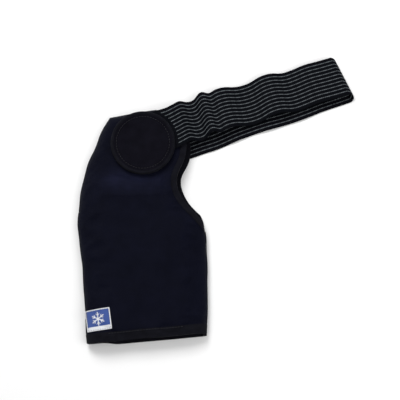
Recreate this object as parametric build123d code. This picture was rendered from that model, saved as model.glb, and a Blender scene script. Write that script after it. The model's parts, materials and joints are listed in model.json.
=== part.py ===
"""Shoulder cold compression wrap, lying on its back panel.

A neoprene arm sleeve opens into a shoulder cap.  An elastic chest strap is sewn under the cap's back
panel, folds over at its far end and comes back over the front, where a round hook-and-loop tab holds it.
A pocket inside the front panel holds a cold gel pack that pulls out through the arm opening.

+X is across the sleeve, +Y runs up the arm to the shoulder, +Z is up from the surface the wrap lies on.
The origin is on that surface, under the middle of the arm tube.
"""

import os
from math import atan2, cos, degrees, pi, radians, sin

from build123d import *

os.makedirs("parts", exist_ok=True)

# ---------------------------------------------------------------- driving dimensions, millimetres
# Sleeve
SLEEVE_W = 193.0  # overall, across
SLEEVE_L = 351.0  # overall, along the arm
LOFT = 24.0  # top of the sleeve above the surface it lies on
PANEL = 3.5  # neoprene laminate
SEAM_Z = 8.0  # height of the seams that join the panels
SIDE_R = 28.0  # the front panel rounds down to its seams over this width
UNDER_R = 8.0  # the back panel rounds up over this width
HEM_TILT = 5.1  # degrees that the arm opening rises towards the armpit
TOP_TILT = 10.0  # degrees that the cap's top edge rises towards the neck

# Edge finishes
BIND = 1.0  # binding tape
NECK_BIND_W = 8.0
ARM_BIND_W = 13.0
NECK_LIP = 6.0  # the back panel's neck edge stands out past the front's by this
SEAM_TAPE = 0.7
SEAM_TAPE_W = 6.0
STITCH_L, STITCH_W, STITCH_T, STITCH_PITCH = 2.8, 0.8, 0.4, 4.2
EDGE_STITCH_IN = 2.0  # stitch line of a binding, in from its edge

# Woven label
LABEL_W, LABEL_H, LABEL_T = 37.0, 31.0, 0.6
LABEL_TURN = 8.0

# Closure tab, from its underside up: hook disc, strap tongue, pad
TAB_R = 48.0
TAB_RIM = 5.0  # width of the tab's edge binding
TAB_PAD = 3.5
TAB_CROWN = 0.8  # the rim stands above the pad by this
HOOK_T = 1.6
LOOP_R, LOOP_T = 40.0, 1.0
TAB_STITCH_IN = 8.5  # the tab's stitch line, in from its edge

# Chest strap
STRAP_W, STRAP_T = 63.5, 1.6
STRAP_ANGLE = 17.0  # the upper strand's direction, from +X towards +Y
STRAP_OFF = 17.0  # the strap's centre line passes this far above the tab's centre
STRAP_REACH = 318.5  # from beside the tab's centre to the far fold
TAB_HINGE = 6.0  # the tab bends off the strap this far past its edge
FOLD_HIGH = 12.0  # middle of the upper strand where it enters the far fold
UNFOLD_GAP = 2.4  # the lower strand's quarter of the fold stops short, so the upper one can turn over
DROP_REACH = 35.0  # the strand comes down off the cap over this distance, to DROP_FOOT
DROP_FOOT = 12.5
# Crests and valleys of the upper strand from there to the fold: share of the way, height of its middle
RIPPLES = ((0.08, 21.0), (0.125, 16.2), (0.175, 18.6), (0.37, 8.5), (0.535, 16.0), (0.68, 9.2), (0.85, 12.6))
LOWER_SHIFT = -4.0  # the lower strand lies this far across from the upper one at the fold
LOWER_SKEW = 3.0  # degrees between the strands
ROOT_LAP = 45.0  # length of the lower strand sewn under the back panel
ROOT_BOX_IN, ROOT_BOX_L = 6.0, 22.0  # its box of stitches, in from the strand's end and edges
JOINT_GAP = 0.3

# Gel pack and its pocket
PACK_W, PACK_L, PACK_T = 88.0, 112.0, 7.6
PACK_CORNER = 12.0
PACK_WELD, PACK_WELD_T, PACK_FILM = 6.0, 1.0, 0.5
POCKET_T = 0.8
POCKET_GAP = 0.5  # between the pack and its pocket
POCKET_LIP = 6.0  # the pocket's mouth stands past the pack by this
MOUTH_TAPE, MOUTH_TAPE_W = 0.6, 8.0

# ---------------------------------------------------------------- the sleeve's plan
# Points are in percent of the sleeve's width and length from the origin.
# Its two sides, from below the arm opening to past the cap's top edge.  The inner one runs on inside
# the neck opening, which is cut from it.
OUTER_SIDE = (
    (-40.2, -40.0),
    (-42.8, -22.0),
    (-45.2, -6.0),
    (-47.8, 9.0),
    (-51.4, 24.0),
    (-50.9, 38.0),
    (-46.2, 48.5),
    (-39.9, 57.6),
    (-32.4, 65.5),
    (-23.0, 74.0),
)
INNER_SIDE = (
    (46.4, -40.0),
    (47.2, -20.0),
    (47.5, -4.0),
    (47.1, 9.0),
    (45.6, 22.0),
    (42.0, 32.0),
    (39.0, 42.0),
    (38.0, 52.0),
    (35.0, 64.0),
    (27.0, 79.0),
)
RIB_COUNT = 11
ARMPIT = (45.9, 23.4)
# Neck edge, from beyond the armpit, round the curve and past the cap's top edge
NECK_CURVE = (
    (68.0, 9.0),
    (45.9, 23.4),
    (34.6, 31.6),
    (27.5, 41.6),
    (30.3, 51.3),
    (31.1, 58.4),
    (25.4, 67.0),
    (11.4, 74.5),
    (0.0, 79.0),
)
NECK_SAMPLES = 40
HEM_SPOT = (0.0, -24.4)
TOP_SPOT = (-27.0, 69.9)
NECK_ROOT = (31.1, 58.4)  # where the strap leaves the back panel
SHOULDER_SPOT = (-52.0, 29.0)  # shoulder seam and outer arm seam meet here
TAB_SPOT = (-1.6, 57.8)
LABEL_SPOT = (-34.0, -17.0)
PACK_SPOT = (-4.0, 38.0)


def spot(share):
    """A point of the plan from its percentages."""
    return Vector(share[0] * SLEEVE_W / 100, share[1] * SLEEVE_L / 100, 0)


# ---------------------------------------------------------------- derived values
CEILING = LOFT - PANEL
LOOP_TOP = LOFT + LOOP_T
HOOK_Z = LOOP_TOP + JOINT_GAP
TONGUE_Z = HOOK_Z + HOOK_T
PAD_Z = TONGUE_Z + STRAP_T
TAB_TOP = PAD_Z + TAB_PAD
HINGE_U = TAB_R + TAB_HINGE
FOLD_R = (FOLD_HIGH - STRAP_T / 2) / 2
FOLD_Z = STRAP_T / 2 + FOLD_R
FOLD_START = STRAP_REACH - STRAP_T / 2 - FOLD_R
PACK_TOP = CEILING - BIND - JOINT_GAP  # the pack clears the arm opening's binding as it slides out
PACK_LOW = PACK_TOP - PACK_T
FAR = 3 * max(SLEEVE_L, STRAP_REACH)  # larger than the wrap

TAB_AT = spot(TAB_SPOT)
PACK_AT = spot(PACK_SPOT)
ALONG = Vector(cos(radians(STRAP_ANGLE)), sin(radians(STRAP_ANGLE)), 0)
ACROSS = Vector(-ALONG.Y, ALONG.X, 0)
STRAP_AT = TAB_AT + ACROSS * STRAP_OFF


def save(shape, name):
    """Writes one node."""
    export_step(Compound(children=list(shape.solids()), label=name), f"parts/{name}.step")


# ---------------------------------------------------------------- the sleeve's outer shape
def side(end, low, high, grow):
    """The rounded side of a section that ends at end, from its flat bottom to its flat top."""
    under = UNDER_R + grow
    over = SIDE_R + grow
    swell = (under + over) / 6
    return Bezier((end - under, low), (end + swell, low), (end + swell, high), (end - over, high))


def rib(left, right, grow):
    """One cross-section of the sleeve, moved outwards by grow."""
    across = (right - left).normalized()
    half = (right - left).length / 2 + grow
    low, high = -grow, LOFT + grow
    right_side = side(half, low, high, grow)
    left_side = mirror(right_side, Plane.YZ)
    lines = [
        Line(left_side @ 0, right_side @ 0),
        right_side,
        Line(right_side @ 1, left_side @ 1),
        left_side,
    ]
    plane = Plane(origin=(left + right) * 0.5, x_dir=across, z_dir=across.cross(Vector(0, 0, 1)))
    return plane * make_face(lines)


def past_cap(grow):
    """Everything past the cap's top edge, which is rounded like the sides."""
    low, high = -grow, LOFT + grow
    edge = side(grow, low, high, grow)
    lines = [
        edge,
        Polyline(edge @ 1, ((edge @ 1).X, FAR), (FAR, FAR), (FAR, -FAR), ((edge @ 0).X, -FAR), edge @ 0),
    ]
    solid = extrude(Plane.YZ * make_face(lines), FAR / 2, both=True)
    return Pos(spot(TOP_SPOT)) * Rot(0, 0, TOP_TILT) * solid


def pod(grow):
    """The sleeve's outer shape moved outwards by grow, as one solid."""
    outer = Spline(*[spot(point) for point in OUTER_SIDE])
    inner = Spline(*[spot(point) for point in INNER_SIDE])
    shares = [i / (RIB_COUNT - 1) for i in range(RIB_COUNT)]
    return loft([rib(outer @ share, inner @ share, grow) for share in shares]) - past_cap(grow)


def past_hem(start, end=FAR):
    """Everything between two distances up the arm from the arm opening."""
    slab = Box(FAR, end - start, FAR, align=(Align.CENTER, Align.MIN, Align.CENTER))
    return Pos(spot(HEM_SPOT)) * Rot(0, 0, HEM_TILT) * Pos(0, start, 0) * slab


def neck_zone(grow, low, high):
    """The neck opening, widened by grow, between two heights."""
    curve = Spline(*[spot(point) for point in NECK_CURVE])
    shares = [i / NECK_SAMPLES for i in range(NECK_SAMPLES + 1)]
    moved = []
    for share in shares:
        heading = curve % share
        moved.append(curve @ share + Vector(-heading.Y, heading.X, 0) * grow)
    edge = Spline(*moved)
    top, bottom = edge @ 1, edge @ 0
    lines = [edge, Polyline(top, Vector(FAR, top.Y), Vector(FAR, bottom.Y), bottom)]
    return extrude(Pos(0, 0, low) * make_face(lines), high - low)


def heights(low, high):
    """Everything between two heights."""
    return Pos(0, 0, low) * Box(FAR, FAR, high - low, align=(Align.CENTER, Align.CENTER, Align.MIN))


OUTER = pod(0)
INNER = pod(-PANEL)
SHELL = (OUTER - INNER) & past_hem(0)


# ---------------------------------------------------------------- panels, bindings and seams
def arm_binding():
    """Tape folded over the edge of the arm opening, all the way round."""
    band = past_hem(-BIND, ARM_BIND_W)
    ring = (pod(BIND) - pod(-PANEL - BIND)) & band & heights(0, LOFT + 2 * BIND)
    return ring - (SHELL & heights(BIND, LOFT))


def neck_binding_front():
    """Tape folded over the front panel's neck edge."""
    skin = (pod(BIND) - pod(-PANEL - BIND)) & heights(SEAM_Z + SEAM_TAPE_W, LOFT + BIND)
    band = skin & neck_zone(NECK_BIND_W, 0, LOFT * 2) - neck_zone(-BIND, 0, LOFT * 2)
    return band - (SHELL - neck_zone(0, 0, LOFT * 2))


def lip(grow, low, high):
    """The back panel's lip along the neck edge, between two heights."""
    ring = neck_zone(NECK_BIND_W, low, high) - neck_zone(-NECK_LIP - grow, low, high)
    return ring & pod(BIND)


def neck_binding_back():
    """Tape folded over the back panel's neck edge."""
    inner = NECK_BIND_W - NECK_LIP
    tape = lip(BIND, 0, PANEL + BIND) & neck_zone(inner, 0, LOFT)
    return tape - lip(0, BIND, PANEL)


def seam_tape(zone):
    """Flat-locked tape over the joint of the two panels, within zone."""
    skin = (pod(SEAM_TAPE) - OUTER) & heights(SEAM_Z - SEAM_TAPE_W / 2, SEAM_Z + SEAM_TAPE_W / 2)
    return (skin & zone & past_hem(ARM_BIND_W)) - neck_zone(NECK_LIP, 0, LOFT)


def plan_box(low, high):
    """Everything between two corners of the plan."""
    size = high - low
    return Pos(low.X, low.Y, 0) * Box(size.X, size.Y, FAR, align=(Align.MIN, Align.MIN, Align.CENTER))


def build_sleeve(lower_strand):
    """The two panels with their bindings and seams."""
    front_cut = neck_zone(0, SEAM_Z, LOFT * 2)
    hem = arm_binding()
    neck_front = neck_binding_front()
    neck_back = neck_binding_back() - lower_strand
    front = (SHELL & heights(SEAM_Z, LOFT)) - front_cut - hem - neck_front
    tray = (SHELL & heights(0, SEAM_Z)) - neck_zone(0, 0, LOFT) + (lip(0, 0, PANEL) & heights(0, PANEL))
    back = tray - hem - neck_back - lower_strand
    shoulder = spot(SHOULDER_SPOT)
    far = Vector(FAR, FAR, 0)
    save(front, "front_panel")
    save(back, "back_panel")
    save(hem, "arm_binding")
    save(neck_front, "neck_binding_front")
    save(neck_back, "neck_binding_back")
    save(seam_tape(plan_box(Vector(-FAR, shoulder.Y, 0), far)), "shoulder_seam_tape")
    save(seam_tape(plan_box(-far, Vector(0, shoulder.Y - 1, 0))), "outer_arm_seam_tape")
    armpit = Vector(FAR, spot(ARMPIT).Y - NECK_LIP, 0)
    save(seam_tape(plan_box(Vector(0, -FAR, 0), armpit)), "underarm_seam_tape")


# ---------------------------------------------------------------- chest strap
def ripple(start, end, distance):
    """Two tangent arcs, or a line, from level at start to level at end, moved up by a distance."""
    lift = Vector(0, distance)
    if start.Y == end.Y:
        return [Line(start + lift, end + lift)]
    slope = 2 * atan2(end.Y - start.Y, end.X - start.X)
    middle = (start + end) * 0.5 + Vector(-sin(slope), cos(slope)) * distance
    first = TangentArc(start + lift, middle, tangent=(1, 0))
    return [first, TangentArc(middle, end + lift, tangent=first % 1)]


def strand(stations, start_angle, turn, plane, gap):
    """A strap strand, its middle level at each station, and then a quarter of the far fold, less a gap."""
    centre = (stations[-1].X, FOLD_Z)
    sides = []
    for distance in (STRAP_T / 2, -STRAP_T / 2):
        side = []
        for start, end in zip(stations, stations[1:]):
            side += ripple(start, end, distance)
        side.append(CenterArc(centre, FOLD_R - turn * distance, start_angle, turn * (90 - fold_gap(gap))))
        sides.append(side)
    upper, lower = sides
    caps = [Line(upper[0] @ 0, lower[0] @ 0), Line(upper[-1] @ 1, lower[-1] @ 1)]
    face = make_face(upper + lower + caps)
    return extrude(plane * face, STRAP_W / 2, dir=plane.z_dir, both=True)


def fold_gap(gap):
    """Degrees of the fold that a gap along its middle takes."""
    return degrees(gap / FOLD_R)


def root_run():
    """How far the lower strand runs from its sewn end to the start of the fold."""
    neck_edge = spot(NECK_ROOT) - STRAP_AT
    return FOLD_START - neck_edge.dot(ALONG) + ROOT_LAP


def lower_place():
    """Where the lower strand starts into the far fold, facing along it."""
    at = STRAP_AT + ALONG * FOLD_START + ACROSS * LOWER_SHIFT
    return Pos(at) * Rot(0, 0, STRAP_ANGLE + LOWER_SKEW)


def strap_lower():
    """The strand that lies on the surface, with its quarter of the far fold."""
    flat = Plane(lower_place())
    plane = Plane(origin=flat.origin, x_dir=flat.x_dir, z_dir=-flat.y_dir)
    stations = [Vector(-root_run(), STRAP_T / 2), Vector(0, STRAP_T / 2)]
    return strand(stations, -90, 1, plane, UNFOLD_GAP)


def strap_upper():
    """The strand that comes back over the front, with its quarter of the far fold."""
    plane = Plane(origin=STRAP_AT, x_dir=ALONG, z_dir=-ACROSS)
    foot = HINGE_U + DROP_REACH
    way = FOLD_START - foot
    stations = [Vector(HINGE_U + JOINT_GAP, TONGUE_Z + STRAP_T / 2), Vector(foot, DROP_FOOT)]
    stations += [Vector(foot + share * way, height) for share, height in RIPPLES]
    stations.append(Vector(FOLD_START, FOLD_HIGH))
    return strand(stations, 90, -1, plane, JOINT_GAP / 2)


# ---------------------------------------------------------------- closure tab
def disc(radius, low, thick):
    return Pos(TAB_AT.X, TAB_AT.Y, low) * Cylinder(
        radius, thick, align=(Align.CENTER, Align.CENTER, Align.MIN)
    )


def tongue():
    """The end of the strap that runs in between the tab's layers."""
    length = TAB_R + HINGE_U
    strip = Box(length, STRAP_W, STRAP_T, align=(Align.MAX, Align.CENTER, Align.MIN))
    placed = Pos(STRAP_AT + Vector(0, 0, TONGUE_Z)) * Rot(0, 0, STRAP_ANGLE) * Pos(HINGE_U, 0, 0) * strip
    inside = disc(TAB_R - TAB_RIM, TONGUE_Z, STRAP_T)
    half_space = Box(FAR, FAR, FAR, align=(Align.MIN, Align.CENTER, Align.CENTER))
    beyond = Pos(STRAP_AT) * Rot(0, 0, STRAP_ANGLE) * half_space
    return (placed & inside) + (placed & beyond)


def stitch(at, turn):
    """One stitch lying on a surface."""
    body = Box(STITCH_L, STITCH_W, STITCH_T, align=(Align.CENTER, Align.CENTER, Align.MIN))
    body = fillet(body.edges().filter_by(Axis.Z), STITCH_W * 0.45)
    return Pos(at) * Rot(0, 0, turn) * body


def stitch_row(start, end):
    """Stitches in a straight row."""
    run = end - start
    count = int(run.length // STITCH_PITCH)
    turn = degrees(atan2(run.Y, run.X))
    return [stitch(start + run * ((i + 0.5) / count), turn) for i in range(count)]


def arm_stitches():
    """The row that holds the arm opening's binding, on the sleeve's flat top."""
    place = Pos(spot(HEM_SPOT)) * Rot(0, 0, HEM_TILT)
    height, up = LOFT + BIND, ARM_BIND_W - EDGE_STITCH_IN
    left = spot(OUTER_SIDE[1]).X + SIDE_R + STITCH_PITCH
    right = spot(INNER_SIDE[1]).X - SIDE_R - STITCH_PITCH
    ends = [(place * Pos(x, up, height)).position for x in (left, right)]
    return stitch_row(*ends)


def root_stitches():
    """A box of stitches inside the back panel, through the sewn end of the lower strand."""
    place = lower_place()
    end, edge = ROOT_BOX_IN - root_run(), STRAP_W / 2 - ROOT_BOX_IN
    corners = ((end, -edge), (end + ROOT_BOX_L, -edge), (end + ROOT_BOX_L, edge), (end, edge))
    places = [(place * Pos(x, y, PANEL)).position for x, y in corners]
    rows = [stitch_row(places[i], places[(i + 1) % 4]) for i in range(4)]
    return [one for row in rows for one in row]


def tab_stitches():
    """A ring of stitches through the tab."""
    radius = TAB_R - TAB_STITCH_IN
    count = round(2 * pi * radius / STITCH_PITCH)
    step = 360 / count
    centre = TAB_AT + Vector(0, 0, TAB_TOP)
    return [
        stitch(centre + Vector(radius, 0, 0).rotate(Axis.Z, i * step), i * step + 90) for i in range(count)
    ]


def build_tab():
    """The round tab, a stack of discs held by an edge binding."""
    strip = tongue()
    height = TAB_TOP + TAB_CROWN - HOOK_Z
    rim = disc(TAB_R, HOOK_Z, height) - disc(TAB_R - TAB_RIM, HOOK_Z, height)
    circles = rim.edges().filter_by(GeomType.CIRCLE)
    outer_edges = [edge for edge in circles if edge.radius > TAB_R - TAB_RIM / 2]
    rim = fillet(outer_edges, height * 0.3)
    save(rim - strip, "tab_binding")
    save(disc(TAB_R - TAB_RIM, TONGUE_Z, STRAP_T + TAB_PAD) - strip, "tab_pad")
    save(strip, "tab_tongue")
    save(disc(TAB_R - TAB_RIM, HOOK_Z, HOOK_T), "hook_disc")
    save(Compound(children=tab_stitches()), "tab_stitches")


# ---------------------------------------------------------------- pieces on the front panel
def skin(plan, thick):
    """A patch lying on the sleeve's outer shape, with a given plan."""
    return (pod(thick) - OUTER) & extrude(Pos(0, 0, SEAM_Z + SEAM_TAPE_W) * plan, LOFT)


def loop_pad():
    """The pile patch the tab grips."""
    return skin(Pos(TAB_AT) * Circle(LOOP_R), LOOP_T)


def woven_label():
    plan = Pos(spot(LABEL_SPOT)) * Rot(0, 0, LABEL_TURN) * RectangleRounded(LABEL_W, LABEL_H, 2)
    return skin(plan, LABEL_T)


# ---------------------------------------------------------------- gel pack and pocket
def pack_slab(grow, low, high, corner):
    """A rounded slab with the pack's plan, grown all round."""
    plan = RectangleRounded(PACK_W + 2 * grow, PACK_L + 2 * grow, corner)
    return extrude(Pos(PACK_AT.X, PACK_AT.Y, low) * plan, high - low)


def build_pack():
    """A film pouch, welded round its edge, full of gel."""
    middle = (PACK_LOW + PACK_TOP) / 2
    body = pack_slab(-PACK_WELD, PACK_LOW, PACK_TOP, PACK_CORNER)
    body = fillet(body.edges().filter_by(Plane.XY), PACK_T * 0.4)
    gel_low, gel_high = PACK_LOW + PACK_FILM, PACK_TOP - PACK_FILM
    gel = pack_slab(-PACK_WELD - PACK_FILM, gel_low, gel_high, PACK_CORNER - PACK_FILM)
    gel = fillet(gel.edges().filter_by(Plane.XY), PACK_T * 0.4 - PACK_FILM)
    weld = pack_slab(0, middle - PACK_WELD_T / 2, middle + PACK_WELD_T / 2, PACK_CORNER)
    save((body + weld) - gel, "pack_pouch")
    save(gel, "gel_fill")


def build_pocket():
    """A pocket sewn under the front panel, open towards the arm opening."""
    wall = POCKET_GAP + POCKET_T
    floor = PACK_LOW - POCKET_GAP - POCKET_T
    mouth = Vector(PACK_AT.X, PACK_AT.Y - PACK_L / 2 - POCKET_LIP, 0)
    width, length = PACK_W + 2 * wall, PACK_L + POCKET_LIP + wall
    at_mouth = (Align.CENTER, Align.MIN, Align.MIN)
    outer = Pos(mouth.X, mouth.Y, floor) * Box(width, length, CEILING - floor, align=at_mouth)
    hollow = Box(width - 2 * POCKET_T, length - POCKET_T, CEILING, align=at_mouth)
    save(outer - Pos(mouth.X, mouth.Y, floor + POCKET_T) * hollow, "pack_pocket")
    tape = Box(width, MOUTH_TAPE_W, MOUTH_TAPE, align=(Align.CENTER, Align.MIN, Align.MAX))
    tape = Pos(mouth.X, mouth.Y, floor) * tape
    save(tape, "pocket_mouth_tape")


build_pack()
build_pocket()
build_tab()
save(loop_pad(), "loop_pad")
save(woven_label(), "woven_label")
LOWER = strap_lower()
save(LOWER, "strap_lower")
save(strap_upper(), "strap_upper")
save(Compound(children=arm_stitches()), "arm_binding_stitches")
save(Compound(children=root_stitches()), "strap_root_stitches")
build_sleeve(LOWER)
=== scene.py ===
"""Looks of the shoulder wrap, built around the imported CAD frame.  Metres, in the CAD's frame."""
import json
import math
from functools import partial

import bmesh
import bpy
import numpy as np
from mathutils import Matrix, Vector
from mathutils.bvhtree import BVHTree


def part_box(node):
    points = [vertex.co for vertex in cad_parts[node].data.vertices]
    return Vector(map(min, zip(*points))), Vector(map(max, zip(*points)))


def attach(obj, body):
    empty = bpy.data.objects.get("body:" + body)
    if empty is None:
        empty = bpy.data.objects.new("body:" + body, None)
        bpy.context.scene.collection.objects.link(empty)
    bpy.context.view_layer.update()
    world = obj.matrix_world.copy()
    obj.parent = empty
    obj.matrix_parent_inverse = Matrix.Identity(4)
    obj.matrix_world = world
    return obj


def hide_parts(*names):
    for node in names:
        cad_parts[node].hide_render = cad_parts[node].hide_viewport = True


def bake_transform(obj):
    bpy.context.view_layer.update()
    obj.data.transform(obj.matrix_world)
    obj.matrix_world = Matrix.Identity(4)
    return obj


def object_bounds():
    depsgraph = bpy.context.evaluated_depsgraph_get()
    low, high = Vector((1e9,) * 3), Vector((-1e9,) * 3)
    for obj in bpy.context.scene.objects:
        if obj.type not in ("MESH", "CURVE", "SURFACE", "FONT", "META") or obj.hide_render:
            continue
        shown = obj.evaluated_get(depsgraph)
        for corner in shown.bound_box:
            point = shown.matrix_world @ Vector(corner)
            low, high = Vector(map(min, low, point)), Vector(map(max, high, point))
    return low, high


MM = 0.001
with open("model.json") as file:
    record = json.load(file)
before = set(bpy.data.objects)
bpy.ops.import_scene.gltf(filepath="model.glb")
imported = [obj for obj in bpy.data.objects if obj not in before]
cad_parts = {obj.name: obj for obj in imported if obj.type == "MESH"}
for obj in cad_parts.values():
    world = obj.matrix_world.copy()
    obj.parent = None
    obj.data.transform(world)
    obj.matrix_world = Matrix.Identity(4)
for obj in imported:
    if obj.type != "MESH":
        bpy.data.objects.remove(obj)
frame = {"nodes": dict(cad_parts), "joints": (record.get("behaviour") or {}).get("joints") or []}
cad_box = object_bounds()
joints = {j["name"]: j for j in frame["joints"]}

# ---------------------------------------------------------------- places read from the frame
tab_low, tab_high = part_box("tab_binding")
TAB = (tab_low + tab_high) / 2
TAB_R = (tab_high.x - tab_low.x) / 2
PANEL_LOW, PANEL_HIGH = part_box("front_panel")
FRONT_TOP = PANEL_HIGH.z
ARM_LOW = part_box("arm_binding")[0]
fold = joints["strap_unfold"]
peel = joints["tab_peel"]
FOLD_AXIS = Vector(fold["pos_m"])
PEEL_AXIS = Vector(peel["pos_m"])
ACROSS = Vector(fold["axis"])
ALONG = Vector((ACROSS.y, -ACROSS.x, 0))

UP, DOWN = Vector((0, 0, 1)), Vector((0, 0, -1))
CLEAR = 0.1  # height above or below the surface where a ray starts, clear of everything

STRAP_THICK = 1.6 * MM
STRAP_WIDE = 63.5 * MM
STRIPES, STRIPE_PITCH = 10, 5.8 * MM
STRIPE_IN = 5.65 * MM  # from the edge to the first stripe


# ---------------------------------------------------------------- mesh helpers
def link(name, mesh):
    piece = bpy.data.objects.new(name, mesh)
    bpy.context.scene.collection.objects.link(piece)
    return piece


def smooth_shaded(mesh):
    mesh.polygons.foreach_set("use_smooth", [True] * len(mesh.polygons))
    mesh.update()


def mesh_piece(name, points, faces, uvs=None):
    mesh = bpy.data.meshes.new(name)
    mesh.from_pydata([tuple(p) for p in points], [], faces)
    if uvs is not None:
        layer = mesh.uv_layers.new(name="UVMap")
        corner = np.zeros(len(mesh.loops), np.int32)
        mesh.loops.foreach_get("vertex_index", corner)
        layer.data.foreach_set("uv", np.asarray(uvs, np.float32)[corner].ravel())
    smooth_shaded(mesh)
    return link(name, mesh)


def baked(piece, *modifiers):
    """Applies modifiers, each (type, settings), to a piece."""
    for kind, settings in modifiers:
        modifier = piece.modifiers.new(kind, kind)
        for key, value in settings.items():
            setattr(modifier, key, value)
    graph = bpy.context.evaluated_depsgraph_get()
    mesh = bpy.data.meshes.new_from_object(piece.evaluated_get(graph))
    piece.modifiers.clear()
    piece.data = mesh
    smooth_shaded(mesh)
    return piece


def get_points(piece):
    points = np.zeros(len(piece.data.vertices) * 3)
    piece.data.vertices.foreach_get("co", points)
    return points.reshape(-1, 3)


def set_points(piece, points):
    piece.data.vertices.foreach_set("co", points.astype(np.float32).ravel())
    piece.data.update()


def softened(name, node, voxel, rounds):
    """An even, rounded copy of a CAD solid's skin, ready to be shaped."""
    piece = link(name, frame["nodes"][node].data.copy())
    piece.data.materials.clear()
    return baked(
        piece,
        ("REMESH", {"mode": "VOXEL", "voxel_size": voxel}),
        ("SMOOTH", {"factor": 0.5, "iterations": rounds}),
    )


def smoothstep(low, high, value):
    share = np.clip((value - low) / (high - low), 0, 1)
    return share * share * (3 - 2 * share)


def waves(x, y, length, seed, count=7):
    """Smooth irregular waves between about -1 and 1, with a typical wavelength."""
    chance = np.random.default_rng(seed)
    total = np.zeros_like(x)
    for _ in range(count):
        angle = chance.uniform(0, math.pi)
        stretch = chance.uniform(0.7, 1.6) * length
        phase = chance.uniform(0, 2 * math.pi)
        total += np.sin((x * math.cos(angle) + y * math.sin(angle)) * 2 * math.pi / stretch + phase)
    return total / math.sqrt(count)


# ---------------------------------------------------------------- how the sleeve lies
def tree_of(mesh):
    return BVHTree.FromPolygons([v.co for v in mesh.vertices], [p.vertices for p in mesh.polygons])


def height_at(surface, x, y):
    """Height of a surface from above, or of its nearest point where it has none."""
    hit = surface.ray_cast(Vector((x, y, CLEAR)), DOWN)[0]
    return (hit or surface.find_nearest(Vector((x, y, FRONT_TOP)))[0]).z


SKIN_FROM = 0.6  # the upper skin starts at this share of the height
SWELL_STEP = 5 * MM
SWELL_CAP = 3.2 * MM
SWELL_PRESSURE, SWELL_SLACK, SWELL_FRAMES = 1.2, 0.02, 24


def swelled():
    """Cloth simulation of the front panel's upper skin, held at its seams and under the tab.
    Returns the grid's first column and row, and how far each of its points rises."""
    surface = tree_of(frame["nodes"]["front_panel"].data)
    xs = np.arange(PANEL_LOW.x, PANEL_HIGH.x + SWELL_STEP, SWELL_STEP)
    ys = np.arange(PANEL_LOW.y, PANEL_HIGH.y + SWELL_STEP, SWELL_STEP)
    number = -np.ones((len(xs), len(ys)), int)
    points = []
    for i, x in enumerate(xs):
        for j, y in enumerate(ys):
            hit = surface.ray_cast(Vector((x, y, CLEAR)), DOWN)[0]
            if hit is not None and hit.z > FRONT_TOP * SKIN_FROM:
                number[i, j] = len(points)
                points.append((x, y, hit.z))
    faces = []
    used = np.zeros(len(points), int)
    for i in range(len(xs) - 1):
        for j in range(len(ys) - 1):
            corners = (number[i, j], number[i + 1, j], number[i + 1, j + 1], number[i, j + 1])
            if min(corners) >= 0:
                faces.append(corners)
                used[list(corners)] += 1
    skin = mesh_piece("skin", points, faces)
    start = get_points(skin)
    under_tab = np.hypot(start[:, 0] - TAB.x, start[:, 1] - TAB.y) < TAB_R
    held = (used < 4) | under_tab
    puffed(skin, SWELL_PRESSURE, SWELL_CAP, SWELL_FRAMES, held, SWELL_SLACK)
    rise = np.zeros((len(xs), len(ys)))
    moved = get_points(skin)[:, 2] - start[:, 2]
    rise[number >= 0] = moved[number[number >= 0]]
    bpy.data.objects.remove(skin)
    return xs[0], ys[0], rise


def puffed(piece, pressure, cap, frames=20, pins=None, slack=0.0):
    """Cloth simulation with air pressure, its result applied and no point moved further than cap."""
    start = get_points(piece)
    modifier = piece.modifiers.new("Cloth", "CLOTH")
    settings = modifier.settings
    settings.quality = 5
    settings.mass = 0.3
    settings.tension_stiffness = 15
    settings.compression_stiffness = 15
    settings.shear_stiffness = 5
    settings.bending_stiffness = 0.5
    settings.shrink_min = -slack
    settings.use_pressure = True
    settings.uniform_pressure_force = pressure
    settings.effector_weights.gravity = 0
    if pins is not None:
        group = piece.vertex_groups.new(name="held")
        group.add([int(i) for i in np.nonzero(pins)[0]], 1.0, "REPLACE")
        settings.vertex_group_mass = "held"
    for number in range(1, frames + 1):
        bpy.context.scene.frame_set(number)
    graph = bpy.context.evaluated_depsgraph_get()
    mesh = bpy.data.meshes.new_from_object(piece.evaluated_get(graph))
    piece.modifiers.clear()
    piece.vertex_groups.clear()
    piece.data = mesh
    bpy.context.scene.frame_set(1)
    moved = get_points(piece) - start
    far = np.linalg.norm(moved, axis=1)
    moved *= np.where(far > cap, cap / np.maximum(far, 1e-9), 1)[:, None]
    set_points(piece, start + moved)
    smooth_shaded(piece.data)
    return piece


def between(x, low, high, soft):
    """1 between low and high, easing to 0 over soft on both sides."""
    return smoothstep(low - soft, low, x) * smoothstep(high + soft, high, x)


SWELL_X, SWELL_Y, SWELL = swelled()


def swell_at(x, y):
    i = np.clip((x - SWELL_X) / SWELL_STEP, 0, SWELL.shape[0] - 1.001)
    j = np.clip((y - SWELL_Y) / SWELL_STEP, 0, SWELL.shape[1] - 1.001)
    a, b = i.astype(int), j.astype(int)
    p, q = i - a, j - b
    low = SWELL[a, b] * (1 - p) + SWELL[a + 1, b] * p
    high = SWELL[a, b + 1] * (1 - p) + SWELL[a + 1, b + 1] * p
    return low * (1 - q) + high * q


TAB_BULGE = 3.5 * MM  # fullness of the cloth just below the tab
RISE_LEAST, RISE_MOST = -0.4 * MM, 4.2 * MM
SIDE_WAVE, HEM_WAVE = 0.55 * MM, 0.4 * MM
NECK_IN = 7 * MM  # how far the neck edge settles towards the sleeve
OUTER_IN = 3.2 * MM  # and the outer edge, half way up
HEM_DROP = 3.6 * MM  # how far the lower layer's hem shows past the upper one


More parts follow.
